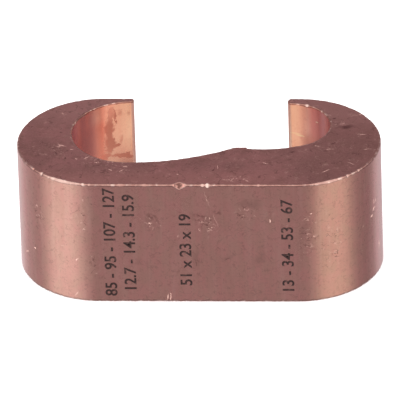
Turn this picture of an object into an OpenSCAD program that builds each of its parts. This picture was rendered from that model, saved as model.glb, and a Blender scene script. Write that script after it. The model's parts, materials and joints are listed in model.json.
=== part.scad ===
// E-style grounding connector: a length cut from an extruded copper bar.
// The run conductor or ground rod lies in the large groove and the tap conductor in the small one.
// The part stands on one cut face, with the grooves upright and the mouth towards +Y.

/* [Grooves] */
// Diameter of the groove for the run conductor or ground rod
run_groove_d = 16.3; // [12:0.1:20]
// Diameter of the groove for the tap conductor
tap_groove_d = 11.6; // [8:0.1:14]
// Distance between the axes of the two grooves
groove_pitch = 22.1; // [19:0.1:28]

/* [Walls] */
// Copper between the run groove and the end of the bar
run_end_wall = 7.5; // [5:0.1:10]
// Copper between the tap groove and the end of the bar
tap_end_wall = 7.25; // [5:0.05:10]
// Copper between the run groove and the front face
run_spine = 6.1; // [4:0.1:8]
// Thickness of the lip over the run groove, where it is thinnest
run_lip = 0.95; // [0.6:0.05:2]
// Thickness of the lip over the tap groove, where it is thinnest
tap_lip = 1.4; // [0.6:0.05:3]

/* [Floor between the grooves] */
// Copper between the top of the ridge and the front face
ridge_height = 10.15; // [8.5:0.05:12]
// Width of the flat on top of the ridge
ridge_land = 1.7; // [0.5:0.1:3]
// Radius of the ramp that rises from the run groove to the ridge
ramp_r = 29; // [22:0.5:36]
// Radius of the dished floor beside the tap groove
dish_r = 14; // [9:0.5:20]
// How far the dished floor dips below the round of the tap groove
dish_dip = 0.65; // [0.2:0.05:1]

/* [Lips] */
// How far the lip of the run groove reaches past the groove's axis
run_lip_reach = 0.1; // [0:0.05:1]
// How far the lip of the tap groove reaches past the groove's axis
tap_lip_reach = 0.4; // [0:0.05:1]

/* [Cut] */
// Length cut from the bar, which is the height of the part as it stands
cut_length = 19.05; // [10:0.05:40]
// Width of the broken edge round both cut faces
edge_break = 0.2; // [0.05:0.05:0.3]

/* [Hidden] */
$fn = 96;

// A place to the nearest thousandth of a millimetre
function micron(v) = round(v * 1000) / 1000;

// Size of the bar
run_r = micron(run_groove_d / 2);
tap_r = micron(tap_groove_d / 2);
back_y = micron((run_spine + 2 * run_r + run_lip) / 2);
front_y = -back_y;
right_x = micron((run_end_wall + run_r + groove_pitch + tap_r + tap_end_wall) / 2);
left_x = -right_x;

// Axes of the grooves
run_x = micron(left_x + run_end_wall + run_r);
run_y = micron(back_y - run_lip - run_r);
tap_x = micron(run_x + groove_pitch);
tap_y = micron(back_y - tap_lip - tap_r);

// The ramp leaves the run groove at its lowest point, and ends at the ridge
ramp_y = run_y - run_r + ramp_r;
ridge_y = micron(front_y + ridge_height);
ridge_left = run_x + sqrt(pow(ramp_r, 2) - pow(ramp_y - ridge_y, 2));
ridge_right = micron(ridge_left + ridge_land);

// The tap groove cuts this far into the end of the dish, so that the two meet at a clear angle
dish_bite = 0.06;
dish_rise = dish_r - tap_r - dish_dip;
dish_offset = dish_r - tap_r + dish_bite;
dish_x = micron(tap_x - sqrt(pow(dish_offset, 2) - pow(dish_rise, 2)));
dish_y = micron(tap_y + dish_rise);
// The dish ends here, where the tap groove is deepest in it
dish_end = micron(tap_x + tap_r * (tap_x - dish_x) / dish_offset);

// Each nose is a little wider than its lip, so the groove and the back of the bar cut into its round
nose_share = 0.55;
run_nose_r = micron(nose_share * run_lip);
tap_nose_r = micron(nose_share * tap_lip);
run_nose_x = micron(run_x + run_lip_reach - run_nose_r);
tap_nose_x = micron(tap_x - tap_lip_reach + tap_nose_r);

// How far a cut runs past the faces of the bar
overrun = 1;
// Height of a cut through the bar
through = cut_length + 2 * overrun;

// Turned outline of a post of radius r, with a broken edge at each end
function post_outline(r) = [
    [0, 0],
    [r - edge_break, 0],
    [r, edge_break],
    [r, cut_length - edge_break],
    [r - edge_break, cut_length],
    [0, cut_length]
];

// Turned outline of a cut of radius r, which breaks the edge at each cut face
function cut_outline(r) = [
    [0, -overrun],
    [r + edge_break + overrun, -overrun],
    [r, edge_break],
    [r, cut_length - edge_break],
    [r + edge_break + overrun, cut_length + overrun],
    [0, cut_length + overrun]
];

// A post of radius r, or the part of one that turns through an angle from +X
module post(r, angle = 360) {
    rotate_extrude(angle = angle)
        polygon(post_outline(r));
}

// A round cut of radius r
module round_cut(r) {
    rotate_extrude()
        polygon(cut_outline(r));
}

// A prism along X, from x1 to x2, with an outline of [y, z] points
module prism_x(x1, x2, outline) {
    translate([x1, 0, 0])
        rotate([90, 0, 90])
            linear_extrude(height = x2 - x1)
                polygon(outline);
}

// The bar before the grooves: flat front and back, round ends
module bar() {
    end_x = right_x - back_y;
    translate([-end_x, 0, 0])
        rotate([0, 0, 90])
            post(back_y, 180);
    translate([end_x, 0, 0])
        rotate([0, 0, -90])
            post(back_y, 180);
    prism_x(-end_x, end_x, [
        [front_y + edge_break, 0],
        [back_y - edge_break, 0],
        [back_y, edge_break],
        [back_y, cut_length - edge_break],
        [back_y - edge_break, cut_length],
        [front_y + edge_break, cut_length],
        [front_y, cut_length - edge_break],
        [front_y, edge_break]
    ]);
}

// One stretch of the bar: what lies inside an outline seen from above
module stretch(outline) {
    intersection() {
        bar();
        translate([0, 0, -overrun])
            linear_extrude(height = through)
                polygon(outline);
    }
}

// The gap between the lips, less the round noses of the lips
module gap() {
    gap_y = min(run_y, tap_y);
    difference() {
        translate([run_nose_x, gap_y, -overrun])
            cube([tap_nose_x - run_nose_x, back_y + overrun - gap_y, through]);
        translate([run_nose_x, back_y - run_lip / 2, 0])
            post(run_nose_r);
        translate([tap_nose_x, back_y - tap_lip / 2, 0])
            post(tap_nose_r);
    }
}

// The end wall and lip round the run groove
module run_hook() {
    difference() {
        stretch([
            [left_x - overrun, front_y - overrun],
            [run_x, front_y - overrun],
            [run_x, run_y],
            [ridge_right, run_y],
            [ridge_right, back_y + overrun],
            [left_x - overrun, back_y + overrun]
        ]);
        translate([run_x, run_y, 0])
            round_cut(run_r);
        gap();
    }
}

// The ramp from the lowest point of the run groove, and the flat of the ridge at its top
module ramp() {
    difference() {
        stretch([
            [run_x, front_y - overrun],
            [ridge_right, front_y - overrun],
            [ridge_right, run_y],
            [run_x, run_y]
        ]);
        translate([run_x, ramp_y, 0])
            round_cut(ramp_r);
        prism_x(run_x, ridge_right + overrun, [
            [ridge_y, edge_break],
            [ridge_y, cut_length - edge_break],
            [ridge_y - edge_break - overrun, cut_length + overrun],
            [back_y, cut_length + overrun],
            [back_y, -overrun],
            [ridge_y - edge_break - overrun, -overrun]
        ]);
    }
}

// The dished floor from the ridge to the tap groove
module dish() {
    intersection() {
        translate([dish_x, dish_y, 0])
            round_cut(dish_r);
        translate([ridge_right - overrun, front_y, -overrun])
            cube([dish_end - ridge_right + overrun, tap_y - front_y, through]);
    }
}

// The end wall and lip round the tap groove, and the floor beside it
module tap_hook() {
    difference() {
        stretch([
            [ridge_right, front_y - overrun],
            [right_x + overrun, front_y - overrun],
            [right_x + overrun, back_y + overrun],
            [ridge_right, back_y + overrun]
        ]);
        translate([tap_x, tap_y, 0])
            round_cut(tap_r);
        dish();
        gap();
    }
}

module connector_body() {
    color([0.66, 0.42, 0.37])
        union() {
            run_hook();
            ramp();
            tap_hook();
        }
}

connector_body();
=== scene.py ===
"""Looks of the e-style grounding connector.

One piece stands for the CAD solid: a length cut from an extruded copper bar, with drawn walls, dull cut
faces, brighter groove walls, and edges that handling has rounded, nicked and polished. A second piece is
the ink of the sizes on its front. Lengths are in metres, in the frame of the CAD model, and in mm in the
tables and the finishes.
"""

import json
import math

import bmesh
import bpy
import numpy as np
from mathutils import Matrix, Vector, geometry, noise


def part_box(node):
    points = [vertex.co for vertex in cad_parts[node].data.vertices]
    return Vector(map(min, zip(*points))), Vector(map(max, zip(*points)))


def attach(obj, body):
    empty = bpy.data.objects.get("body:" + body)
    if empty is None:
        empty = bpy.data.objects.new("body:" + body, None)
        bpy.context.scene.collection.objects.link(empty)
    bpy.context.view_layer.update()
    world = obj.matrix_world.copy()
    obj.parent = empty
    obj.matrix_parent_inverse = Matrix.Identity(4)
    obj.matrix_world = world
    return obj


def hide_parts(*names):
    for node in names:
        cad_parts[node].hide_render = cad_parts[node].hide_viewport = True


MM = 0.001

# Section of the bar, where the frame doesn't give it
RUN_LIP = 0.95 * MM
TAP_LIP = 1.4 * MM
RUN_LIP_REACH = 0.1 * MM
TAP_LIP_REACH = 0.4 * MM
NOSE_SHARE = 0.55
RIDGE_HEIGHT = 10.15 * MM
RIDGE_LAND = 1.7 * MM
RAMP_R = 29 * MM
DISH_R = 14 * MM
DISH_DIP = 0.65 * MM
DISH_BITE = 0.06 * MM

# Mesh of the body: spacing along the outline and where it is fine, spacing on a cut face, rows over an edge
# and up a wall, and passes that soften the corners of the outline
STEP = 0.13 * MM
FINE_STEP = 0.07 * MM
CAP_GRID = 0.6 * MM
ROUND_ROWS = 6
WALL_ROWS = 12
SOFTEN_PASSES = 3
# How far the grid of a cut face keeps from its rim, in grid steps
CAP_CLEARANCE = 0.6
# Share of the room inside the outline that may be used, and shares of that for an edge and for its band
ROOM_SHARE = 0.7
EDGE_ROOM = 0.6
BAND_ROOM = 0.3
# Limits below which a turn, a distance between cap points and a gap in the print count as nothing
LEAST_TURN = 1e-6
CAP_TOLERANCE = 1e-9
PRINT_TOLERANCE = 1e-7

# Worn edges: the usual radius outside and at the grooves, the least radius, and the width of the band
# beside an edge where the wear fades out
EDGE_R = {"outer": 0.19 * MM, "groove": 0.15 * MM}
EDGE_LEAST = 0.05 * MM
EDGE_BAND = 0.15 * MM
# How far the radius wanders, the pitch and the fractal of that, and where each edge reads the noise
EDGE_WANDER = 0.1 * MM
EDGE_PITCH = 0.8 * MM
EDGE_SMOOTHNESS = 0.5
EDGE_LACUNARITY = 2.0
EDGE_OCTAVES = 4
LOWER_EDGE_SEED = 1 * MM
UPPER_EDGE_SEED = 5 * MM
# How dull an old nick is, how bright a fresh one is, and how bright the rim of an old one is
NICK_DULLNESS = 2.6
NICK_BRIGHTNESS = 1.0
NICK_RIM = 0.6
# Nicks in the upper edge: place along X and Y, half width, radius that the edge is beaten to, in mm, and
# how bright the nick is, from -1 for an old dull one to 1 for a fresh one
NICKS = [
    (-2.2, -11.7, 0.95, 0.8, -1),
    (-1.5, -11.7, 0.3, 0.4, 0.9),
    (1.05, -11.7, 0.3, 0.36, 0.5),
    (1.7, -11.7, 0.34, 0.55, 1),
    (-7.0, -11.7, 0.4, 0.26, 0.2),
    (-10.3, -11.7, 0.6, 0.25, 0.15),
    (8.8, -11.7, 0.2, 0.27, 0.2),
    (-15.6, -11.6, 0.25, 0.38, 0.6),
    (-14.7, -11.7, 0.2, 0.3, 0.3),
    (-21.5, -8.7, 0.25, 0.4, 0.7),
    (-18.6, -10.7, 3.2, 0.3, 0.5),
    (-22.6, -7.4, 0.25, 0.36, -0.5),
    (-23.4, -5.0, 0.8, 0.4, -0.5),
    (18.6, -10.7, 2.6, 0.27, 0.3),
    (21.1, -9.1, 0.25, 0.36, 0.4),
    (22.6, -7.7, 0.22, 0.33, 0.4),
    (14.7, 9.8, 0.35, 0.3, 0.7),
]

# Marks of handling: place, angle in degrees, half length and half width. On the upper cut face the place
# is along X and Y, on the walls it is the way round from the middle of the front and the height, all in mm.
CUT_LIGHT = [
    (-19.1, -1.2, -20, 0.9, 0.12),
    (-19.5, -1.5, 0, 0.5, 0.08),
    (-17.6, -2.3, -22, 0.4, 0.08),
    (-15.5, -4.5, 52, 0.7, 0.09),
    (-16.9, -4.8, -60, 0.35, 0.08),
    (-14.0, -5.7, 14, 0.4, 0.09),
    (-11.9, -7.7, -42, 0.4, 0.12),
    (-10.4, -7.9, 51, 0.6, 0.08),
    (-9.9, -6.8, -20, 0.45, 0.08),
    (-2.5, -8.8, 0, 0.2, 0.1),
    (-3.6, -8.8, 0, 0.15, 0.1),
    (2.9, -6.9, -79, 0.6, 0.07),
    (5.1, -10.2, 68, 0.7, 0.07),
    (7.1, -10.5, -49, 0.5, 0.07),
    (23.6, -2.0, 5, 0.75, 0.08),
    (16.5, -1.2, -34, 0.5, 0.08),
    (18.2, -2.1, 0, 0.45, 0.08),
    (22.8, 1.9, 12, 0.7, 0.08),
    (18.0, -7.8, 42, 1.0, 0.07),
    (21.4, -5.8, -30, 0.8, 0.07),
    (9.6, -5.9, -21, 0.6, 0.05),
    (-19.4, 7.4, -42, 0.3, 0.1),
    (22.3, 7.3, 20, 0.25, 0.12),
]
CUT_DARK = [
    (-19.8, -3.2, -60, 0.8, 0.25),
    (-18.4, -4.6, -60, 0.4, 0.2),
    (-21.5, 1.7, -42, 0.3, 0.2),
    (-21.9, -6.2, -60, 0.4, 0.15),
    (-13.0, -8.5, 0, 0.35, 0.15),
    (-14.2, -6.7, 0, 0.35, 0.15),
    (2.4, -7.7, 69, 0.5, 0.15),
    (20.3, 3.9, 15, 1.8, 0.7),
    (18.6, 6.2, 0, 0.5, 0.3),
    (18.7, -0.5, 26, 0.6, 0.2),
    (17.6, -2.6, 0, 0.6, 0.15),
    (13.1, -2.8, 20, 0.8, 0.2),
]
# Glints: scratches painted bright, as painted highlights where they catch the light
WALL_GLINTS = [
    (-4.2, 0.7, 82, 0.8, 0.07),
    (-3.8, 0.9, -89, 1.0, 0.08),
    (10.3, 13.2, 71, 0.36, 0.12),
    (16.0, 14.2, 30, 0.2, 0.09),
    (26.6, 10.2, 35, 0.4, 0.1),
    (27.0, 11.0, 65, 0.4, 0.1),
    (27.4, 11.1, 10, 0.45, 0.12),
    (27.9, 12.0, 50, 0.5, 0.1),
    (27.2, 12.2, 80, 0.4, 0.09),
    (28.9, 4.2, 80, 0.9, 0.14),
    (-26.6, 4.2, 40, 0.8, 0.11),
    (-24.2, 6.0, -11, 0.35, 0.1),
    (-17.0, 1.0, 56, 0.7, 0.06),
    (-16.8, 6.6, 60, 0.35, 0.09),
]
WALL_LIGHT = [
    (1.6, 16.8, -73, 2.0, 0.055),
    (2.7, 13.3, -71, 1.8, 0.04),
    (16.7, 12.8, -36, 0.25, 0.1),
    (15.2, 13.5, 32, 0.9, 0.05),
    (24.5, 9.6, 26, 0.3, 0.1),
    (24.2, 5.7, -13, 0.35, 0.08),
    (-19.0, 8.4, 0, 0.35, 0.1),
    (-17.4, 13.3, 20, 0.3, 0.1),
    (-15.6, 16.4, -60, 0.3, 0.12),
    (0.7, 13.0, 7, 0.8, 0.06),
    (0.4, 11.7, -50, 0.3, 0.1),
    (-2.5, 10.7, 79, 0.45, 0.08),
    (-6.4, 13.6, -50, 0.35, 0.08),
]
WALL_DARK = [
    (-0.3, 6.2, 87, 1.4, 0.12),
    (0.2, 6.8, 61, 0.5, 0.25),
    (4.3, 7.0, 38, 0.6, 0.15),
    (21.8, 15.7, 13, 0.75, 0.12),
    (18.9, 7.2, 39, 0.45, 0.07),
    (17.9, 8.3, 55, 0.35, 0.07),
    (17.4, 16.2, 26, 0.45, 0.07),
    (15.6, 9.1, -16, 0.9, 0.1),
    (-14.5, 15.8, -61, 0.35, 0.12),
    (-18.5, 17.8, 4, 0.5, 0.2),
    (-16.2, 14.8, -75, 0.55, 0.12),
    (-15.4, 12.6, -57, 0.4, 0.15),
    (-5.9, 13.7, -40, 1.5, 0.6),
    (0.5, 14.1, -12, 1.4, 0.55),
    (2.9, 14.6, -15, 0.9, 0.4),
    (2.3, 12.2, -18, 0.8, 0.1),
]
# Broad smudges on the walls, and where fine scratches crowd together, in the same terms
WALL_SMUDGES = [
    (0.9, 13.6, -10, 2.8, 1.4),
    (-6.5, 13.2, -35, 2.6, 1.2),
    (7.6, 16.0, 0, 2.6, 1.2),
    (15.6, 12.4, 70, 3.5, 1.0),
    (4.3, 7.2, 30, 1.2, 0.7),
    (-0.1, 7.0, 80, 2.4, 0.8),
    (9.0, 7.5, 60, 3.0, 1.2),
    (-8.0, 6.5, 0, 2.0, 0.9),
]
CUT_CROWDS = [
    (-12.6, -5.8, -28, 5.5, 2.0),
    (-19.5, -2.6, -60, 3.0, 1.3),
    (22.3, 1.9, 0, 2.0, 1.2),
    (19.4, 4.6, 20, 2.4, 1.4),
    (18.6, -1.8, 20, 2.4, 1.2),
    (5.5, -10.0, 0, 3.5, 1.2),
]
WALL_CROWDS = [
    (-15.8, 13.4, 90, 3.8, 1.6),
    (-14.4, 5.5, 90, 3.0, 1.3),
    (1.4, 13.0, -60, 3.0, 2.0),
    (-6.2, 13.0, -30, 2.4, 1.6),
    (7.0, 14.5, 0, 2.6, 1.8),
    (15.4, 10.5, 90, 6.0, 2.2),
    (19.0, 9.0, 90, 8.0, 2.6),
    (27.4, 10.8, 70, 1.6, 1.0),
    (-23.0, 12.0, 90, 4.0, 1.6),
]
# Stains and bright streaks on the groove walls, by X and height
GROOVE_STAINS = [
    (-13.0, 17.2, 88, 1.5, 0.42),
    (-13.2, 14.9, 90, 1.7, 0.65),
    (-13.1, 12.6, 90, 1.9, 0.85),
    (-13.7, 10.7, 0, 0.9, 0.6),
    (-12.4, 16.9, -81, 1.7, 0.18),
    (-12.3, 12.0, 0, 0.6, 0.4),
    (-11.4, 10.3, -8, 2.0, 0.42),
    (-10.6, 10.5, 60, 0.7, 0.4),
]
GROOVE_SMEARS = [
    (-11.6, 17.3, 80, 0.9, 0.5),
    (-10.5, 17.2, 80, 0.7, 0.4),
    (-11.6, 13.0, 80, 1.2, 0.3),
]
GROOVE_STREAKS = [
    (13.0, 14.2, -5, 1.1, 0.12),
    (13.6, 13.9, -8, 0.9, 0.16),
    (16.1, 16.8, 0, 0.25, 0.12),
    (-10.0, 16.2, 88, 2.6, 0.1),
]

# Printed sizes: text, place of its baseline along X, and height where it starts, in mm
PRINT = [
    ("85 - 95 - 107 - 127", -11.3, 0.9),
    ("12.7 - 14.3 - 15.9", -8.6, 1.6),
    ("51 x 23 x 19", -0.8, 2.6),
    ("13 - 34 - 53 - 67", 13.4, 1.4),
]
PRINT_SIZE = 2.3 * MM
PRINT_DEPTH = 0.02 * MM
PRINT_BOLDNESS = 0.035 * MM

# Camera, as fitted to the photograph
CAMERA_ELEVATION = math.radians(31.5)
CAMERA_AZIMUTH = math.radians(3.7)
CAMERA_ROLL = math.radians(1.8)
CAMERA_DISTANCE = 1.3717
CAMERA_LENS = 882.5
CAMERA_AIM = Vector((0, 0, 9.52 * MM))
CAMERA_OFFSET = Vector((-0.09 * MM, -0.062 * MM))

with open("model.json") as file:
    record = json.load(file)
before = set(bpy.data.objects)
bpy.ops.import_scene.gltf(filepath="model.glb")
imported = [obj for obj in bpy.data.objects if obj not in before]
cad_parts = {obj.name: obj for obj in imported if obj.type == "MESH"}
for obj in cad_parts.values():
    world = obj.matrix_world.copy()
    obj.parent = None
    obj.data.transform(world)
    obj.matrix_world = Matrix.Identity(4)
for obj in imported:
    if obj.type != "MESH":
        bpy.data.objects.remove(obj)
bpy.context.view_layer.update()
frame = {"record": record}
low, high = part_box("connector_body")
mounts = {mount["name"]: mount for mount in frame["record"]["mounts"]}


# Outline of the section

def groove(name):
    """Centre and radius of a groove, from its mount."""
    x, y, _ = mounts[name]["pos_m"]
    return Vector((x, y)), mounts[name]["dims"]["r_mm"] * MM


def crossing(centre_a, radius_a, centre_b, radius_b, side):
    """Where two circles cross, to the left (side 1) or right (side -1) of the line from a to b."""
    apart = (centre_b - centre_a).length
    along = (centre_b - centre_a) / apart
    reach = (apart**2 + radius_a**2 - radius_b**2) / (2 * apart)
    rise = math.sqrt(radius_a**2 - reach**2)
    return centre_a + along * reach + side * rise * Vector((-along.y, along.x))


def angle_of(point, centre):
    """Direction from a centre to a point, in degrees."""
    return math.degrees(math.atan2(point.y - centre.y, point.x - centre.x))


def arc(centre, radius, start, end, step=STEP):
    """Points along an arc between two angles in degrees, without its last point."""
    count = max(3, round(abs(math.radians(end - start)) * radius / step))
    turns = [math.radians(start + (end - start) * i / count) for i in range(count)]
    return [centre + radius * Vector((math.cos(t), math.sin(t))) for t in turns]


def line(start, end, step=STEP):
    """Points along a straight stretch, without its last point."""
    count = max(1, round((end - start).length / step))
    return [start.lerp(end, i / count) for i in range(count)]


def section():
    """The outline, anticlockwise from above: a list of (zone, points) stretches."""
    run, run_r = groove("run_groove")
    tap, tap_r = groove("tap_groove")
    back, front = high.y, low.y
    end_x = high.x - back
    run_nose_r = NOSE_SHARE * RUN_LIP
    tap_nose_r = NOSE_SHARE * TAP_LIP
    run_nose = Vector((run.x + RUN_LIP_REACH - run_nose_r, back - RUN_LIP / 2))
    tap_nose = Vector((tap.x - TAP_LIP_REACH + tap_nose_r, back - TAP_LIP / 2))
    nose_turn = math.degrees(math.asin(1 / (2 * NOSE_SHARE)))
    run_tip = crossing(run_nose, run_nose_r, run, run_r, 1)
    tap_tip = crossing(tap_nose, tap_nose_r, tap, tap_r, -1)
    tap_nose_end = angle_of(tap_tip, tap_nose) % 360
    run_back = Vector((run_nose.x + run_nose_r * math.cos(math.radians(nose_turn)), back))
    tap_back = Vector((tap_nose.x - tap_nose_r * math.cos(math.radians(nose_turn)), back))

    ridge_y = front + RIDGE_HEIGHT
    ramp = Vector((run.x, run.y - run_r + RAMP_R))
    ridge_left = Vector((run.x + math.sqrt(RAMP_R**2 - (ramp.y - ridge_y)**2), ridge_y))
    ridge_right = Vector((ridge_left.x + RIDGE_LAND, ridge_y))
    dish_rise = DISH_R - tap_r - DISH_DIP
    dish_offset = DISH_R - tap_r + DISH_BITE
    dish = tap + Vector((-math.sqrt(dish_offset**2 - dish_rise**2), dish_rise))
    dish_left = Vector((ridge_right.x, dish.y - math.sqrt(DISH_R**2 - (dish.x - ridge_right.x)**2)))
    dish_right = crossing(dish, DISH_R, tap, tap_r, -1)

    return [
        ("outer", line(Vector((-end_x, front)), Vector((end_x, front)))),
        ("outer", arc(Vector((end_x, 0)), back, -90, 90)),
        ("outer", line(Vector((end_x, back)), tap_back)),
        ("groove", arc(tap_nose, tap_nose_r, 180 - nose_turn, tap_nose_end, FINE_STEP)),
        ("groove", arc(tap, tap_r, angle_of(tap_tip, tap), angle_of(dish_right, tap))),
        ("groove", arc(dish, DISH_R, angle_of(dish_right, dish), angle_of(dish_left, dish))),
        ("groove", line(dish_left, ridge_right, FINE_STEP)),
        ("groove", line(ridge_right, ridge_left)),
        ("groove", arc(ramp, RAMP_R, angle_of(ridge_left, ramp), -90)),
        ("groove", arc(run, run_r, 270, angle_of(run_tip, run))),
        ("groove", arc(run_nose, run_nose_r, angle_of(run_tip, run_nose), nose_turn, FINE_STEP)),
        ("outer", line(run_back, Vector((-end_x, back)))),
        ("outer", arc(Vector((-end_x, 0)), back, 90, 270)),
    ]


# Mesh of the body

ZONES = ["outer", "cut", "groove"]


def soften(points):
    """Rounds the corners of a closed outline a little."""
    for _ in range(SOFTEN_PASSES):
        points = (np.roll(points, 1, 0) + 2 * points + np.roll(points, -1, 0)) / 4
    return points


def outward(points):
    """Unit normals of a closed anticlockwise outline."""
    along = np.roll(points, -1, 0) - np.roll(points, 1, 0)
    normals = np.stack([along[:, 1], -along[:, 0]], 1)
    return normals / np.linalg.norm(normals, axis=1)[:, None]


def room(points, normals):
    """How far each point of the outline can move inwards before the outline would cross itself."""
    steps = np.linalg.norm(np.roll(points, -1, 0) - points, axis=1)
    following = np.roll(normals, -1, 0)
    turn = np.arcsin(np.clip(normals[:, 0] * following[:, 1] - normals[:, 1] * following[:, 0], -1, 1))
    limit = ROOM_SHARE * steps / np.maximum(turn, LEAST_TURN)
    for order in (range(len(limit)), reversed(range(len(limit)))):
        before = None
        for i in list(order) * 2:
            if before is not None:
                limit[i] = min(limit[i], limit[before] + ROOM_SHARE * steps[min(i, before)])
            before = i
    return limit


def nick_share(points, nick):
    """How far a nick has taken each point of the outline, from 0 outside it to 1 at its middle."""
    x, y, half_width, *_ = nick
    away = np.hypot(points[:, 0] - x * MM, points[:, 1] - y * MM)
    return np.clip(1 - away / (half_width * MM), 0, 1)


def edge_radii(points, usual, limit, seed, nicks=()):
    """Radius of the worn edge at each point of the outline, how flat nicks beat it, and how dull it is."""
    spots = [Vector((x, y, seed)) / EDGE_PITCH for x, y in points]
    wander = [noise.fractal(spot, EDGE_SMOOTHNESS, EDGE_LACUNARITY, EDGE_OCTAVES) for spot in spots]
    radii = usual + EDGE_WANDER * np.array(wander)
    flat = np.zeros(len(points))
    dull = np.zeros(len(points))
    for nick in nicks:
        *_, radius, shine = nick
        share = nick_share(points, nick)
        radii = np.maximum(radii, usual + (radius * MM - usual) * share)
        flat = np.maximum(flat, np.sqrt(share))
        dull -= np.sqrt(share) * shine * (NICK_DULLNESS if shine < 0 else NICK_BRIGHTNESS)
    return np.clip(radii, EDGE_LEAST, limit * EDGE_ROOM), flat, dull


def wall_rings(points, normals, usual):
    """Rings of points from the bottom face to the top one, and how worn each of their points is.

    Wear is 0 on a wall or face, 1 on an edge, more in a fresh nick and below 0 in an old one.
    """
    limit = room(points, normals)
    band = np.minimum(EDGE_BAND, limit * BAND_ROOM)
    lower_edge = edge_radii(points, usual, limit, LOWER_EDGE_SEED)
    upper_edge = edge_radii(points, usual, limit, UPPER_EDGE_SEED, NICKS)
    bottom = lower_edge[0]
    top = upper_edge[0]
    bare = np.zeros(len(points))
    rings = []
    wear = []

    def ring(inset, height, worn):
        rings.append(np.column_stack([points - normals * inset[:, None], height]))
        wear.append(worn)

    def edge(radius, flat, dull, row):
        """Inset, rise and wear of one row of an edge, which is round, or flat where it was beaten."""
        share = row / ROUND_ROWS
        turn = math.pi / 2 * share
        inset = radius * ((1 - flat) * (1 - math.sin(turn)) + flat * (1 - share))
        rise = radius * ((1 - flat) * (1 - math.cos(turn)) + flat * share)
        at_end = row in (0, ROUND_ROWS)
        rim = NICK_RIM * np.clip(dull, 0, 1) - np.minimum(dull, 0)
        return inset, rise, 1 + rim if at_end else 1 - dull

    ring(bottom + band, low.z + bare, bare)
    for row in range(ROUND_ROWS + 1):
        inset, rise, worn = edge(*lower_edge, row)
        ring(inset, low.z + rise, worn)
    wall_low = low.z + bottom + EDGE_BAND
    wall_high = high.z - top - EDGE_BAND
    for row in range(WALL_ROWS + 1):
        share = row / WALL_ROWS
        ring(bare, wall_low * (1 - share) + wall_high * share, bare)
    for row in reversed(range(ROUND_ROWS + 1)):
        inset, rise, worn = edge(*upper_edge, row)
        ring(inset, high.z - rise, worn)
    ring(top + band, high.z + bare, bare)
    return rings, wear


def inside(loop, grid):
    """Points of a grid that lie inside a closed loop and well clear of it."""
    xs = np.arange(loop[:, 0].min(), loop[:, 0].max(), grid)
    ys = np.arange(loop[:, 1].min(), loop[:, 1].max(), grid)
    spots = np.array([(x + (row % 2) * grid / 2, y) for row, y in enumerate(ys) for x in xs])
    following = np.roll(loop, -1, 0)
    kept = []
    for spot in spots:
        if np.hypot(*(loop - spot).T).min() < grid * CAP_CLEARANCE:
            continue
        above = (loop[:, 1] > spot[1]) != (following[:, 1] > spot[1])
        a, b = loop[above], following[above]
        reach = a[:, 0] + (spot[1] - a[:, 1]) / (b[:, 1] - a[:, 1]) * (b[:, 0] - a[:, 0])
        if np.count_nonzero(reach > spot[0]) % 2:
            kept.append(spot)
    return kept


def cap_faces(ring, first, start, height):
    """Fills a ring with triangles. Returns the added points, and the faces by index.

    The ring's points are numbered from first, and the added ones from start.
    """
    loop = ring[:, :2]
    count = len(loop)
    added = inside(loop, CAP_GRID)
    spots = [Vector(p) for p in loop] + [Vector(p) for p in added]
    sides = [(i, (i + 1) % count) for i in range(count)]
    _, _, triangles, sources, *_ = geometry.delaunay_2d_cdt(spots, sides, [], 1, CAP_TOLERANCE)
    index = [first + i if i < count else start + i - count for i, *_ in sources]
    faces = [[index[i] for i in triangle] for triangle in triangles]
    return [(*p, height) for p in added], faces


def body_mesh():
    """The body: worn walls between two filled cut faces, with its zones as material slots."""
    stretches = section()
    points = soften(np.array([p for _, stretch in stretches for p in stretch]))
    zone = [ZONES.index(name) for name, stretch in stretches for _ in stretch]
    normals = outward(points)
    usual = np.array([EDGE_R[name] for name, stretch in stretches for _ in stretch])
    rings, ring_wear = wall_rings(points, normals, usual)
    count = len(points)
    steps = np.linalg.norm(np.roll(points, -1, 0) - points, axis=1)
    along = np.concatenate([[0], np.cumsum(steps)]) + points[0, 0]
    halfway = count // 2
    whole = steps.sum()

    vertices = [tuple(p) for ring in rings for p in ring]
    wear = list(np.concatenate(ring_wear))
    faces = []
    slots = []
    unrolled = []
    last = len(rings) - 2
    for j in range(len(rings) - 1):
        for i in range(count):
            k = (i + 1) % count
            faces.append((j * count + i, j * count + k, (j + 1) * count + k, (j + 1) * count + i))
            on_cut = j in (0, last)
            slots.append(ZONES.index("cut") if on_cut else zone[i])
            seam = whole if i >= halfway else 0
            for column, row, s in ((i, j, i), (k, j, i + 1), (k, j + 1, i + 1), (i, j + 1, i)):
                x, y, z = rings[row][column]
                unrolled.append((x, y, 0) if on_cut else (along[s] - seam, z, 0))
    for ring_index, height, flip in ((0, low.z, True), (len(rings) - 1, high.z, False)):
        added, filled = cap_faces(rings[ring_index], ring_index * count, len(vertices), height)
        vertices += added
        wear += [0] * len(added)
        for face in filled:
            face = face[::-1] if flip else face
            faces.append(face)
            slots.append(ZONES.index("cut"))
            unrolled += [(*vertices[v][:2], 0) for v in face]

    mesh = bpy.data.meshes.new("connector_body_worn")
    mesh.from_pydata(vertices, [], faces)
    mesh.polygons.foreach_set("material_index", slots)
    mesh.polygons.foreach_set("use_smooth", [True] * len(faces))
    mesh.attributes.new("wear", "FLOAT", "POINT").data.foreach_set("value", wear)
    flat = np.array(unrolled, np.float32).ravel()
    mesh.attributes.new("unrolled", "FLOAT_VECTOR", "CORNER").data.foreach_set("vector", flat)
    mesh.validate()
    return mesh


# Finishes

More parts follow.
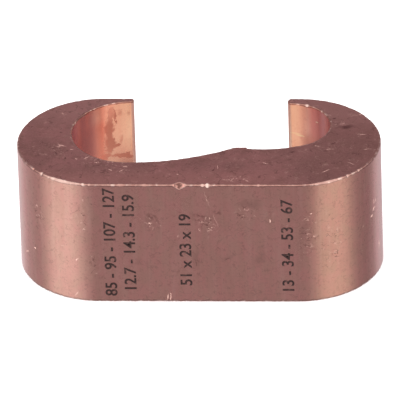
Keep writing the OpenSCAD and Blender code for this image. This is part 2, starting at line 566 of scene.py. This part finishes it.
# Colours that the finishes share, and the tint of the reflection at grazing angles
CLEAN = (0.96, 0.6, 0.5)
SCRATCHED = (1.0, 0.68, 0.58)
STAINED = (0.42, 0.2, 0.17)
WORN = (0.62, 0.355, 0.3)
POLISHED = (0.92, 0.65, 0.56)
GLINT = (0.97, 0.74, 0.65)
BEATEN = (0.2, 0.1, 0.085)
GRAZING_TINT = (0.7, 0.71, 0.75, 1)
# Colours of the outer walls, the cut faces, the groove walls and the ink
DRAWN = {
    "rosy": (0.88, 0.455, 0.39),
    "brown": (0.82, 0.464, 0.378),
    "tarnish": (0.64, 0.335, 0.28),
    "smudge": (0.5, 0.275, 0.23),
}
CUT = {
    "pale": (0.62, 0.3, 0.272),
    "deep": (0.49, 0.246, 0.219),
    "mottle": (0.4, 0.2, 0.167),
    "patch": (0.5, 0.28, 0.225),
    "grain": (0.8, 0.445, 0.39),
    "tap end": (0.42, 0.215, 0.18),
    "front": (0.75, 0.36, 0.315),
    "back": (0.72, 0.385, 0.345),
    "pit": (0.26, 0.12, 0.105),
}
GROOVE = {
    "pale": (0.92, 0.7, 0.553),
    "warm": (0.9, 0.66, 0.517),
    "tap side": (1.0, 0.7, 0.545),
    "ramp": (0.84, 0.53, 0.43),
    "line": (0.9, 0.56, 0.43),
    "stain": (0.55, 0.22, 0.165),
    "smear": (0.6, 0.3, 0.23),
    # Painted shade and light in the grooves: redder low walls, and a lighter top at the run groove's end
    "lips, low, shaded": (0.92, 0.42, 0.32),
    "run end, low, shaded": (0.75, 0.33, 0.27),
    "run end, high, lit": (1.0, 0.58, 0.46),
    "tap end, low, shaded": (0.6, 0.24, 0.19),
    "mottle": (0.6, 0.25, 0.2),
    "streak": (1.0, 0.86, 0.62),
    # Painted highlight on the noses of the lips
    "nose": (1.0, 0.7, 0.6),
    # Worn groove rims, also dark as painted shade along the near rims
    "worn": (0.5, 0.26, 0.21),
}
INK = {
    "full": (0.03, 0.017, 0.016),
    "thin": (0.1, 0.052, 0.045),
}
# How the groove walls deepen towards their closed ends, as painted shade and copper-red reflected light:
# where along X it starts and ends, in mm, and the colour
GROOVE_END_SHADING = [
    (-13.2, -14.3, (0.95, 0.325, 0.24)),
    (-14.4, -15.4, (1.0, 0.375, 0.305)),
    (-16.2, -17.0, (0.92, 0.335, 0.285)),
    (-16.9, -17.4, (1.0, 0.44, 0.45)),
    (13.0, 14.4, (1.0, 0.6, 0.48)),
    (14.4, 15.6, (0.72, 0.29, 0.255)),
    (16.2, 17.0, (0.82, 0.39, 0.365)),
]
# Depth of the relief: die lines on the outer walls, grain of the cut faces, lines on the groove walls
DRAWN_RELIEF = 0.00125 * MM
CUT_RELIEF = 0.025 * MM
GROOVE_RELIEF = 0.003 * MM


class Finish:
    """A material's nodes, with short calls for those that the finishes share. Lengths are in mm.

    place is a point in the frame. unrolled is X and Y on a cut face, and the way round and the height on a
    wall. wear is how worn an edge is.
    """

    def __init__(self, name):
        self.material = bpy.data.materials.new(name)
        self.material.use_nodes = True
        self.tree = self.material.node_tree
        self.tree.nodes.clear()
        self.place = self.vector("SCALE", self.add("TexCoord").outputs["Object"], Scale=1 / MM)
        self.unrolled = self.vector("SCALE", self.attribute("unrolled", "Vector"), Scale=1 / MM)
        self.wear = self.attribute("wear", "Fac")

    def add(self, kind, inputs=None, **settings):
        """A node with its inputs, each of them linked or set."""
        node = self.tree.nodes.new("ShaderNode" + kind)
        for name, value in settings.items():
            setattr(node, name, value)
        for name, value in (inputs or {}).items():
            if isinstance(value, bpy.types.NodeSocket):
                self.tree.links.new(value, node.inputs[name])
            else:
                node.inputs[name].default_value = value
        return node

    def attribute(self, name, output):
        return self.add("Attribute", attribute_name=name).outputs[output]

    def vector(self, operation, *values, **named):
        node = self.add("VectorMath", {**dict(enumerate(values)), **named}, operation=operation)
        return node.outputs["Value" if operation == "LENGTH" else "Vector"]

    def math(self, operation, *values):
        total = values[0]
        for value in values[1:]:
            total = self.add("Math", {0: total, 1: value}, operation=operation).outputs[0]
        return total

    def sum(self, *values):
        return self.math("ADD", *values)

    def product(self, *values):
        return self.math("MULTIPLY", *values)

    def most(self, *values):
        return self.math("MAXIMUM", *values)

    def strongest(self, *masks):
        """The strongest of some masks at each point, each times its weight."""
        return self.most(*[self.product(mask, weight) for mask, weight in masks])

    def step(self, value, start, end, low=0.0, high=1.0):
        """A smooth step from low to high, as the value goes from start to end."""
        inputs = {"Value": value, "From Min": start, "From Max": end, "To Min": low, "To Max": high}
        return self.add("MapRange", inputs, interpolation_type="SMOOTHSTEP").outputs["Result"]

    def noise(self, pitch, stretch=(1, 1, 1), detail=3.0, vector=None, output="Fac"):
        """Noise from 0 to 1 whose features are about a pitch apart, drawn out by the stretch."""
        scale = tuple(1 / (pitch * s) for s in stretch)
        vector = self.vector("MULTIPLY", vector or self.place, scale)
        return self.add("TexNoise", {"Vector": vector, "Scale": 1.0, "Detail": detail}).outputs[output]

    def mark(self, vector, x, y, angle, half_length, half_width, soft):
        """An oval mark: 1 in its middle and 0 outside it."""
        inputs = {"Vector": vector, "Location": (x, y, 0), "Rotation": (0, 0, math.radians(angle)),
                  "Scale": (half_length, half_width, 1)}
        local = self.add("Mapping", inputs, vector_type="TEXTURE").outputs[0]
        return self.step(self.vector("LENGTH", local), 1.0, 1.0 - soft)

    def marks(self, vector, rows, soft=0.6):
        """All the marks of a table."""
        total = 0.0
        for row in rows:
            total = self.most(self.mark(vector, *row, soft), total)
        return total

    def ragged(self, vector, pitch, reach):
        """A vector that is shaken by noise, so that what is drawn with it has ragged edges."""
        shake = self.vector("SUBTRACT", self.noise(pitch, output="Color"), (0.5, 0.5, 0.5))
        return self.vector("ADD", vector, self.vector("MULTIPLY", shake, (reach, reach, 0)))

    def scratches(self, vector, pitch, half_length, half_width, share, lean=0, spread=180, shift=0):
        """Scattered oval scratches, one in a share of the cells that are about a pitch wide.

        They turn by up to half the spread from the lean, in degrees. A weak one is shorter too.
        """
        vector = self.vector("ADD", vector, (shift, shift, 0))
        cell_inputs = {"Vector": vector, "Scale": 1 / pitch}
        cells = self.add("TexVoronoi", cell_inputs, voronoi_dimensions="2D").outputs
        random = self.add("SeparateColor", {0: cells["Color"]}).outputs
        turn = self.sum(self.product(random[0], math.radians(spread)), math.radians(lean - spread / 2))
        turn_inputs = {"Vector": self.vector("SUBTRACT", vector, cells["Position"]), "Angle": turn}
        away = self.add("VectorRotate", turn_inputs, rotation_type="Z_AXIS").outputs[0]
        weakest = 0.35
        strength = self.sum(weakest, self.product(random[2], 1 - weakest))
        size_inputs = {0: self.product(strength, half_length), 1: half_width, 2: 1.0}
        size = self.add("CombineXYZ", size_inputs).outputs[0]
        drawn = self.step(self.vector("LENGTH", self.vector("DIVIDE", away, size)), 1.0, 0.3)
        shown = self.add("Math", {0: random[1], 1: share}, operation="LESS_THAN").outputs[0]
        return self.product(drawn, shown, strength)

    def squiggles(self, vector, pitch, width, start, end, shift=0):
        """Thin curling lines, which show where a second noise rises from start to end."""
        vector = self.vector("ADD", vector, (shift, shift, 0))
        level = self.math("SUBTRACT", self.noise(pitch, vector=vector, detail=2), 0.5)
        away = self.add("Math", {0: level}, operation="ABSOLUTE").outputs[0]
        lines = self.step(away, width, width * 0.3)
        elsewhere = self.vector("ADD", vector, (9, 5, 0))
        shown = self.step(self.noise(pitch * 0.8, vector=elsewhere), start, end)
        return self.product(lines, shown)

    def edged(self, colour, worn=WORN, polish=1.0):
        """The colour with worn edges: polished in dashes, bright in fresh nicks and dull in old ones."""
        edge = self.step(self.wear, 0.2, 0.8)
        dashes = self.noise(0.6, detail=5)
        dull_dashes = self.step(dashes, 0.5, 0.36, 0, 0.5)
        bright_dashes = self.step(dashes, 0.53, 0.68)
        fresh_nicks = self.step(self.wear, 1.0, 1.9)
        old_nicks = self.product(self.step(self.wear, -0.05, -0.7), self.step(dashes, 0.66, 0.5, 0.3, 1))
        colour = self.tint(edge, colour, worn)
        colour = self.tint(self.product(edge, dull_dashes), colour, STAINED)
        colour = self.tint(self.product(edge, bright_dashes, polish), colour, POLISHED)
        colour = self.tint(fresh_nicks, colour, GLINT)
        return self.tint(old_nicks, colour, BEATEN)

    def tint(self, factor, below, above):
        """One colour over another, as far as the factor says."""
        node = self.tree.nodes.new("ShaderNodeMix")
        node.data_type = "RGBA"
        for name, value in {"Factor": factor, "A": below, "B": above}.items():
            socket = next(s for s in node.inputs if s.name == name and s.enabled)
            if isinstance(value, bpy.types.NodeSocket):
                self.tree.links.new(value, socket)
            else:
                socket.default_value = (*value, 1)
        return next(s for s in node.outputs if s.enabled)

    def shade(self, colour, roughness, height, depth, scatter):
        """The copper's shader. Scratches and dull patches scatter light, which polished metal doesn't."""
        bump = self.add("Bump", {"Height": height, "Distance": depth, "Strength": 1.0})
        inputs = {
            "Base Color": colour,
            "Metallic": self.math("SUBTRACT", 1.0, scatter),
            "Roughness": roughness,
            "Normal": bump.outputs[0],
            "Specular Tint": GRAZING_TINT,
        }
        shader = self.add("BsdfPrincipled", inputs)
        self.add("OutputMaterial", {"Surface": shader.outputs[0]})
        return self.material


def drawn_copper():
    """Outer walls: satin, with faint die lines along the bar, a thin tarnish and marks of handling."""
    f = Finish("drawn_copper")
    lines = f.noise(0.3, (1, 80, 1), vector=f.unrolled)
    bands = f.noise(1.4, (1, 12, 1), vector=f.unrolled)
    blotch = f.noise(4.5, (1, 1, 1.6))
    patch = f.noise(1.5, (1, 1, 1.8), detail=5)
    grime = f.noise(0.4, detail=5)
    around = f.ragged(f.unrolled, 0.5, 0.5)

    colour = f.tint(f.step(patch, 0.36, 0.64), DRAWN["rosy"], DRAWN["brown"])
    colour = f.tint(f.step(blotch, 0.45, 0.7, 0, 0.25), colour, DRAWN["tarnish"])
    colour = f.tint(f.step(lines, 0.4, 0.7, 0, 0.16), colour, CLEAN)
    colour = f.tint(f.step(bands, 0.5, 0.7, 0, 0.3), colour, CLEAN)
    colour = f.tint(f.step(grime, 0.5, 0.75, 0, 0.2), colour, STAINED)
    smudges = f.marks(f.ragged(f.unrolled, 2.0, 1.8), WALL_SMUDGES, 0.9)
    smudges = f.product(smudges, f.step(patch, 0.38, 0.6, 0.2, 1))
    colour = f.tint(f.product(smudges, 0.4), colour, DRAWN["smudge"])

    strewn = f.step(f.noise(3.2), 0.52, 0.7, 0, 0.4)
    crowd = f.most(f.marks(f.ragged(f.unrolled, 1.5, 1.2), WALL_CROWDS, 0.7), strewn)
    stains = f.marks(f.ragged(f.unrolled, 1.0, 0.9), WALL_DARK, 0.9)
    dark_hairs = f.squiggles(f.unrolled, 1.3, 0.02, 0.44, 0.54)
    dark_scratches = f.scratches(around, 0.9, 0.6, 0.05, 0.6, 35, 110, shift=71)
    pits = f.scratches(around, 1.3, 0.12, 0.1, 0.3, shift=31)
    dark = f.strongest(
        (f.product(stains, f.step(grime, 0.36, 0.56)), 0.75),
        (f.product(dark_hairs, f.most(crowd, 0.4)), 0.75),
        (f.product(dark_scratches, f.most(crowd, 0.35)), 0.85),
        (pits, 0.4),
    )
    light_hairs = f.squiggles(f.unrolled, 1.1, 0.018, 0.48, 0.58, shift=40)
    light_scratches = f.scratches(around, 0.9, 0.5, 0.045, 0.45, 60, 70, shift=17)
    # The glints among the light marks are painted highlights
    light = f.strongest(
        (f.marks(around, WALL_LIGHT), 0.48),
        (f.marks(around, WALL_GLINTS), 0.9),
        (f.product(light_hairs, crowd), 0.6),
        (f.product(light_scratches, crowd), 0.65),
    )
    colour = f.tint(dark, colour, STAINED)
    colour = f.tint(light, colour, SCRATCHED)
    # Painted shade: a thin darker line on the wall beside each edge, under the edge's highlight
    edge_shade_band = f.product(f.step(f.wear, 0, 0.25), f.step(f.wear, 0.7, 0.25))
    colour = f.tint(f.product(edge_shade_band, 0.35), colour, STAINED)
    colour = f.edged(colour)
    roughness = f.sum(0.24, f.product(blotch, 0.1), f.product(light, 0.35))
    return f.shade(colour, roughness, lines, DRAWN_RELIEF, f.step(light, 0.25, 1, 0, 0.6))


def cut_copper():
    """Cut faces: dull, with tarnish, pits and fine scratches."""
    f = Finish("cut_copper")
    blotch = f.noise(5.0, detail=4)
    mottle = f.noise(1.4, detail=5)
    patch = f.noise(0.9, detail=4)
    grain = f.noise(0.22)
    around = f.ragged(f.unrolled, 0.4, 0.5)
    x, y, z = f.add("SeparateXYZ", {0: f.place}).outputs
    tap_end = f.step(x, 8, 22, 0, 0.4)
    front = f.product(f.step(y, -6.5, -10), f.step(x, 16, 8), 0.45)
    back = f.step(y, 2, 8, 0, 0.5)
    upper = f.step(z, 9, 10)

    colour = f.tint(f.step(blotch, 0.35, 0.65), CUT["pale"], CUT["deep"])
    colour = f.tint(f.step(mottle, 0.48, 0.72, 0, 0.5), colour, CUT["mottle"])
    colour = f.tint(f.step(patch, 0.5, 0.75, 0, 0.4), colour, CUT["patch"])
    colour = f.tint(f.step(grain, 0.45, 0.75, 0, 0.3), colour, CUT["grain"])
    colour = f.tint(tap_end, colour, CUT["tap end"])
    colour = f.tint(front, colour, CUT["front"])
    colour = f.tint(back, colour, CUT["back"])

    strewn = f.step(f.noise(3.5), 0.5, 0.7, 0, 0.4)
    crowd = f.most(f.marks(f.ragged(f.unrolled, 2.0, 2.0), CUT_CROWDS, 0.75), strewn)
    crowd = f.product(crowd, f.step(x, 6, 14, 1, 0.7))
    stains = f.marks(f.ragged(f.unrolled, 0.9, 0.8), CUT_DARK, 0.9)
    dark = f.strongest(
        (f.product(stains, f.step(mottle, 0.34, 0.5), upper), 0.95),
        (f.product(f.scratches(around, 0.8, 0.3, 0.14, 0.5), crowd), 0.65),
        (f.product(f.scratches(around, 0.6, 0.16, 0.12, 0.5, shift=31), crowd), 0.7),
        (f.squiggles(f.unrolled, 1.6, 0.025, 0.48, 0.6), 0.5),
    )
    flecks = f.squiggles(f.unrolled, 0.75, 0.032, 0.5, 0.6, shift=20)
    light_scratches = f.scratches(around, 0.7, 0.4, 0.07, 0.5, 0, 120, shift=57)
    light = f.strongest(
        (f.product(f.marks(around, CUT_LIGHT), upper), 0.85),
        (f.squiggles(f.unrolled, 1.5, 0.018, 0.52, 0.64, shift=40), 0.25),
        (f.product(flecks, crowd), 0.65),
        (f.product(light_scratches, crowd), 0.9),
    )
    colour = f.tint(dark, colour, CUT["pit"])
    colour = f.tint(light, colour, SCRATCHED)
    colour = f.edged(colour)
    roughness = f.sum(0.4, f.product(blotch, 0.1), f.product(light, 0.25))
    height = f.sum(f.product(grain, 0.1), f.product(mottle, 0.3))
    return f.shade(colour, roughness, height, CUT_RELIEF, f.product(light, 0.13))


def groove_copper():
    """Groove walls: clean copper with drip stains. Painted shade and reflected light deepen it to red at
    the closed ends.
    """
    f = Finish("groove_copper")
    lines = f.noise(0.4, (1, 80, 1), vector=f.unrolled)
    blotch = f.noise(3.0)
    mottle = f.noise(0.5, detail=4)
    x, y, z = f.add("SeparateXYZ", {0: f.place}).outputs
    upright = f.add("CombineXYZ", {0: x, 1: z}).outputs[0]
    tap_side = f.step(x, 2, 8, 0, 0.6)
    ramp = f.product(f.step(x, -9, -5), f.step(x, 7, 4), f.step(y, 4, 2))
    # Painted shade and reflected light: redder low down by the lips and at the groove ends, lighter high at
    # the run groove's end
    lips_low_shade = f.product(f.step(z, 13.5, 9.5, 0, 0.5), f.step(y, 5, 7))
    run_end = f.step(x, -12, -13)
    run_end_low_shade = f.product(run_end, f.step(z, 17, 15, 0, 0.2))
    run_end_high_light = f.product(run_end, f.step(x, -16.5, -15), f.step(z, 15.5, 17.5, 0, 0.6))
    run_deepest = f.step(x, -17.2, -17.65, 0, 0.11)
    tap_end_low_shade = f.product(f.step(x, 13.2, 15), f.step(z, 15.5, 13, 0, 0.8))
    # Painted highlight on the noses of the lips
    nose_highlight = f.product(f.step(x, -10.12, -9.92), f.step(x, 12.2, 12.0), f.step(y, 8, 10))

    colour = f.tint(f.step(blotch, 0.4, 0.7), GROOVE["pale"], GROOVE["warm"])
    colour = f.tint(tap_side, colour, GROOVE["tap side"])
    colour = f.tint(f.product(ramp, f.step(blotch, 0.3, 0.7, 0.6, 1)), colour, GROOVE["ramp"])
    colour = f.tint(f.step(lines, 0.4, 0.7, 0, 0.25), colour, GROOVE["line"])
    stains = f.marks(f.ragged(f.ragged(upright, 1.6, 0.9), 0.4, 0.7), GROOVE_STAINS, 0.35)
    colour = f.tint(f.product(stains, 0.85), colour, GROOVE["stain"])
    smears = f.marks(f.ragged(upright, 0.8, 0.7), GROOVE_SMEARS, 0.9)
    colour = f.tint(f.product(smears, 0.55), colour, GROOVE["smear"])
    # Painted shade and reflected light, low down by the lips
    colour = f.tint(lips_low_shade, colour, GROOVE["lips, low, shaded"])
    # Painted shade and copper-red reflected light towards the closed ends of the grooves
    for start, end, shade_colour in GROOVE_END_SHADING:
        colour = f.tint(f.step(x, start, end), colour, shade_colour)
    # Painted shade low at the groove ends, painted light high at the run groove's end
    colour = f.tint(run_end_low_shade, colour, GROOVE["run end, low, shaded"])
    colour = f.tint(run_end_high_light, colour, GROOVE["run end, high, lit"])
    colour = f.tint(tap_end_low_shade, colour, GROOVE["tap end, low, shaded"])
    colour = f.tint(f.step(mottle, 0.5, 0.8, 0, 0.3), colour, GROOVE["mottle"])
    streaks = f.marks(f.ragged(upright, 0.5, 0.15), GROOVE_STREAKS)
    colour = f.tint(f.product(streaks, 0.8), colour, GROOVE["streak"])
    # Painted highlight: the noses tinted bright, in place of their reflection
    colour = f.tint(nose_highlight, colour, GROOVE["nose"])
    # Worn rims, darkened and polished less towards the front, as painted shade along the near rims
    colour = f.edged(colour, GROOVE["worn"], f.step(y, 2, 6, 0.1, 1))
    duller = f.sum(f.product(stains, 0.1), f.step(x, 9, 13, 0, 0.1), f.product(nose_highlight, 0.4))
    roughness = f.sum(0.2, f.product(blotch, 0.08), duller)
    return f.shade(colour, roughness, lines, GROOVE_RELIEF, run_deepest)


def print_ink():
    """Dark ink, rubbed thin in places."""
    f = Finish("print_ink")
    rubbed = f.noise(0.5, detail=4)
    inputs = {
        "Base Color": f.tint(f.step(rubbed, 0.5, 0.75), INK["full"], INK["thin"]),
        "Roughness": f.sum(0.6, f.product(rubbed, 0.2)),
        "Specular IOR Level": 0.15,
    }
    shader = f.add("BsdfPrincipled", inputs)
    f.add("OutputMaterial", {"Surface": shader.outputs[0]})
    return f.material


# Pieces

def make_body():
    """The body, with a finish for each of its zones."""
    body = bpy.data.objects.new("connector_body_worn", body_mesh())
    bpy.context.scene.collection.objects.link(body)
    for material in (drawn_copper(), cut_copper(), groove_copper()):
        body.data.materials.append(material)
    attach(body, "root")
    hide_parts("connector_body")


def make_print():
    """Plain sizes in ink on the front, which read upwards."""
    upwards = Matrix(((0, -1, 0), (0, 0, -1), (1, 0, 0))).to_4x4()
    strings = []
    for text, x, z in PRINT:
        curve = bpy.data.curves.new("print", "FONT")
        curve.body = text
        curve.size = PRINT_SIZE
        curve.extrude = PRINT_DEPTH
        curve.offset = PRINT_BOLDNESS
        string = bpy.data.objects.new("print", curve)
        bpy.context.scene.collection.objects.link(string)
        string.matrix_world = Matrix.Translation((x * MM, low.y, z * MM)) @ upwards
        strings.append(string)
    bpy.context.view_layer.update()
    depsgraph = bpy.context.evaluated_depsgraph_get()
    joined = bmesh.new()
    for string in strings:
        mesh = bpy.data.meshes.new_from_object(string.evaluated_get(depsgraph))
        mesh.transform(string.matrix_world)
        joined.from_mesh(mesh)
        bpy.data.meshes.remove(mesh)
        bpy.data.objects.remove(string)
    bmesh.ops.remove_doubles(joined, verts=joined.verts, dist=PRINT_TOLERANCE)
    mesh = bpy.data.meshes.new("size_print")
    joined.to_mesh(mesh)
    joined.free()
    mesh.materials.append(print_ink())
    printed = bpy.data.objects.new("size_print", mesh)
    bpy.context.scene.collection.objects.link(printed)
    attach(printed, "root")


# Stage

FLOOR_REACH = 3.0
FLOOR_GAP = 0.01 * MM
FLOOR_COLOUR = (0.9, 0.9, 0.9, 1)
FLOOR_ROUGHNESS = 0.9
FILL_STRENGTH = 3.6
FILL_SPREAD = math.radians(150)
# Soft panels of the studio: azimuth from the front towards +X, half width and softness of its edge, lowest
# and highest elevation and softness there, all in degrees, then colour and strength, which is below 0 where
# a panel takes light away
AMBIENT = (0.32, 0.275, 0.30)
PANELS = [
    (-54.5, 27.5, 17, -90, 5, 12, (0.92, 1.0, 0.94), 0.65),
    (52, 25, 12, -90, 5, 12, (0.95, 1.0, 0.78), 0.42),
    (-120, 18, 12, -90, 5, 12, (0.9, 0.95, 1.0), 0.2),
    (-149, 6, 6, -90, 5, 12, (0.4, 1.0, 0.85), 0.14),
    (142, 11, 13, -90, 5, 12, (0.87, 1.0, 1.1), 0.58),
    (106, 12, 10, -90, 5, 12, (1.0, 1.0, 1.0), -0.04),
    (-170, 33, 21, -70, 8, 10, (0.97, 1.0, 1.02), 0.88),
    (0, 112, 30, 15, 95, 12, (1.0, 0.97, 0.93), 0.9),
]


def make_floor():
    """A plain pale floor. Mirror-like surfaces look past it, to the studio's light below the horizon."""
    mesh = bpy.data.meshes.new("floor")
    corners = [(-1, -1), (1, -1), (1, 1), (-1, 1)]
    height = low.z - FLOOR_GAP
    mesh.from_pydata([(x * FLOOR_REACH, y * FLOOR_REACH, height) for x, y in corners], [], [(0, 1, 2, 3)])
    floor = bpy.data.objects.new("floor", mesh)
    bpy.context.scene.collection.objects.link(floor)
    material = bpy.data.materials.new("pale_floor")
    material.use_nodes = True
    shader = material.node_tree.nodes["Principled BSDF"]
    shader.inputs["Base Color"].default_value = FLOOR_COLOUR
    shader.inputs["Roughness"].default_value = FLOOR_ROUGHNESS
    shader.inputs["Specular IOR Level"].default_value = 0.0
    mesh.materials.append(material)
    floor.visible_glossy = False


def make_fill():
    """A wide soft light from above, for the floor. The copper doesn't mirror it."""
    light = bpy.data.lights.new("floor_fill", "SUN")
    light.energy = FILL_STRENGTH
    light.angle = FILL_SPREAD
    fill = bpy.data.objects.new("floor_fill", light)
    fill.visible_glossy = False
    bpy.context.scene.collection.objects.link(fill)


def make_world():
    """The studio that the copper mirrors. Seen directly, it is as pale as the floor."""
    world = bpy.data.worlds.new("studio")
    bpy.context.scene.world = world
    world.use_nodes = True
    tree = world.node_tree
    tree.nodes.clear()

    def add(kind, *inputs, **settings):
        node = tree.nodes.new("ShaderNode" + kind)
        for name, value in settings.items():
            setattr(node, name, value)
        for socket, value in zip(node.inputs, inputs):
            if isinstance(value, bpy.types.NodeSocket):
                tree.links.new(value, socket)
            else:
                socket.default_value = value
        return node

    def calculate(operation, *values):
        return add("Math", *values, operation=operation).outputs[0]

    def rise(value, start, end):
        return add("MapRange", value, start, end, 0.0, 1.0, interpolation_type="SMOOTHSTEP").outputs[0]

    x, y, z = add("SeparateXYZ", add("TexCoord").outputs["Generated"]).outputs
    turn = calculate("ARCTAN2", x, calculate("MULTIPLY", y, -1.0))
    azimuth = calculate("MULTIPLY", turn, math.degrees(1))
    elevation = calculate("MULTIPLY", calculate("ARCSINE", z), math.degrees(1))
    total = AMBIENT
    for centre, half, soft, lowest, highest, soft_up, colour, strength in PANELS:
        off = calculate("WRAP", calculate("SUBTRACT", azimuth, centre), -180, 180)
        across = rise(calculate("ABSOLUTE", off), half + soft, half - soft)
        up = rise(elevation, lowest - soft_up, lowest + soft_up)
        down = rise(elevation, highest + soft_up, highest - soft_up)
        share = calculate("MULTIPLY", calculate("MULTIPLY", up, down), across)
        panel = add("VectorMath", [c * strength for c in colour], operation="SCALE")
        tree.links.new(share, panel.inputs["Scale"])
        total = add("VectorMath", panel.outputs[0], total, operation="ADD").outputs[0]
    mirrored = add("Background", total)
    seen = add("Background", (1, 1, 1, 1))
    camera_ray = add("LightPath").outputs["Is Camera Ray"]
    mix = add("MixShader", camera_ray, mirrored.outputs[0], seen.outputs[0])
    add("OutputWorld", mix.outputs[0])


def make_camera():
    """The camera of the photograph: a long lens, above and a little to the right of the front."""
    turn = CAMERA_AZIMUTH
    rise = CAMERA_ELEVATION
    back = Vector((math.sin(turn) * math.cos(rise), -math.cos(turn) * math.cos(rise), math.sin(rise)))
    level = Vector((math.cos(turn), math.sin(turn), 0))
    upright = back.cross(level)
    right = math.cos(CAMERA_ROLL) * level - math.sin(CAMERA_ROLL) * upright
    up = math.sin(CAMERA_ROLL) * level + math.cos(CAMERA_ROLL) * upright
    place = CAMERA_AIM + CAMERA_DISTANCE * back + CAMERA_OFFSET.x * right + CAMERA_OFFSET.y * up
    camera = bpy.data.objects.new("camera", bpy.data.cameras.new("camera"))
    camera.data.lens = CAMERA_LENS
    camera.matrix_world = Matrix.Translation(place) @ Matrix((right, up, back)).transposed().to_4x4()
    bpy.context.scene.collection.objects.link(camera)
    bpy.context.scene.camera = camera


bpy.context.scene.view_settings.view_transform = "Standard"
make_body()
make_print()
make_floor()
make_fill()
make_world()
make_camera()

bpy.context.view_layer.update()
